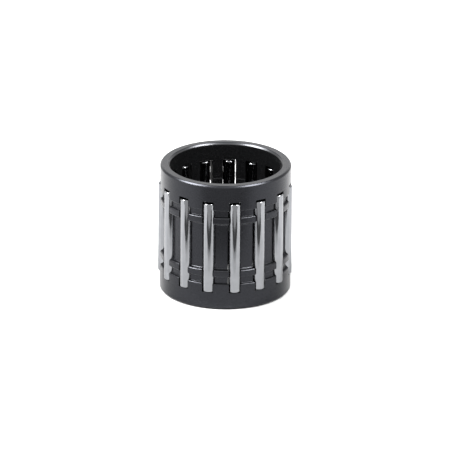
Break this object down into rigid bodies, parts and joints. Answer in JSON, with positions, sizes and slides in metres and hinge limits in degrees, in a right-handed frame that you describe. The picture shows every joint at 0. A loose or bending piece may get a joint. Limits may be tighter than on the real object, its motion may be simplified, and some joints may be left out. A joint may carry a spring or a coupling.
{
  "type": "needle roller bearing",
  "caption": "Needle roller and cage assembly: a one-piece blackened steel cage holding slim polished rollers, to run between a pin and a plain bore.",
  "frame": {"origin": "on the bearing's axis, half way between the two end faces of the cage", "axes": "+Z along the bearing's axis, towards the end face that is up in the picture; roller_01 sits at -Y and the others follow anticlockwise about +Z"},
  "size_m": [0.0218, 0.0218, 0.0216],
  "materials": {
    "cage_steel": "dark phosphated or blackened, semi-gloss",
    "roller_steel": "ground and polished bearing steel"
  },
  "bodies": {
    "cage_body": {"cage": "cage_steel"},
    "roller_01_body": {"roller_01": "roller_steel"},
    "roller_02_body": {"roller_02": "roller_steel"},
    "roller_03_body": {"roller_03": "roller_steel"},
    "roller_04_body": {"roller_04": "roller_steel"},
    "roller_05_body": {"roller_05": "roller_steel"},
    "roller_06_body": {"roller_06": "roller_steel"},
    "roller_07_body": {"roller_07": "roller_steel"},
    "roller_08_body": {"roller_08": "roller_steel"},
    "roller_09_body": {"roller_09": "roller_steel"},
    "roller_10_body": {"roller_10": "roller_steel"},
    "roller_11_body": {"roller_11": "roller_steel"},
    "roller_12_body": {"roller_12": "roller_steel"},
    "roller_13_body": {"roller_13": "roller_steel"},
    "roller_14_body": {"roller_14": "roller_steel"},
    "roller_15_body": {"roller_15": "roller_steel"}
  },
  "joints": [
    {"name": "roller_01_spin", "type": "hinge", "parent": "cage_body", "child": "roller_01_body", "pos_m": [0.00006, -0.01, -0.0001], "axis": [0, 0, 1], "continuous": true},
    {"name": "roller_02_spin", "type": "hinge", "parent": "cage_body", "child": "roller_02_body", "pos_m": [0.00412, -0.00911, -0.0001], "axis": [0, 0, 1], "continuous": true},
    {"name": "roller_03_spin", "type": "hinge", "parent": "cage_body", "child": "roller_03_body", "pos_m": [0.00747, -0.00664, -0.0001], "axis": [0, 0, 1], "continuous": true},
    {"name": "roller_04_spin", "type": "hinge", "parent": "cage_body", "child": "roller_04_body", "pos_m": [0.00953, -0.00303, -0.0001], "axis": [0, 0, 1], "continuous": true},
    {"name": "roller_05_spin", "type": "hinge", "parent": "cage_body", "child": "roller_05_body", "pos_m": [0.00994, 0.00111, -0.0001], "axis": [0, 0, 1], "continuous": true},
    {"name": "roller_06_spin", "type": "hinge", "parent": "cage_body", "child": "roller_06_body", "pos_m": [0.00863, 0.00505, -0.0001], "axis": [0, 0, 1], "continuous": true},
    {"name": "roller_07_spin", "type": "hinge", "parent": "cage_body", "child": "roller_07_body", "pos_m": [0.00583, 0.00813, -0.0001], "axis": [0, 0, 1], "continuous": true},
    {"name": "roller_08_spin", "type": "hinge", "parent": "cage_body", "child": "roller_08_body", "pos_m": [0.00202, 0.00979, -0.0001], "axis": [0, 0, 1], "continuous": true},
    {"name": "roller_09_spin", "type": "hinge", "parent": "cage_body", "child": "roller_09_body", "pos_m": [-0.00214, 0.00977, -0.0001], "axis": [0, 0, 1], "continuous": true},
    {"name": "roller_10_spin", "type": "hinge", "parent": "cage_body", "child": "roller_10_body", "pos_m": [-0.00593, 0.00805, -0.0001], "axis": [0, 0, 1], "continuous": true},
    {"name": "roller_11_spin", "type": "hinge", "parent": "cage_body", "child": "roller_11_body", "pos_m": [-0.00869, 0.00495, -0.0001], "axis": [0, 0, 1], "continuous": true},
    {"name": "roller_12_spin", "type": "hinge", "parent": "cage_body", "child": "roller_12_body", "pos_m": [-0.00995, 0.00098, -0.0001], "axis": [0, 0, 1], "continuous": true},
    {"name": "roller_13_spin", "type": "hinge", "parent": "cage_body", "child": "roller_13_body", "pos_m": [-0.00949, -0.00315, -0.0001], "axis": [0, 0, 1], "continuous": true},
    {"name": "roller_14_spin", "type": "hinge", "parent": "cage_body", "child": "roller_14_body", "pos_m": [-0.00739, -0.00674, -0.0001], "axis": [0, 0, 1], "continuous": true},
    {"name": "roller_15_spin", "type": "hinge", "parent": "cage_body", "child": "roller_15_body", "pos_m": [-0.00401, -0.00916, -0.0001], "axis": [0, 0, 1], "continuous": true}
  ]
}
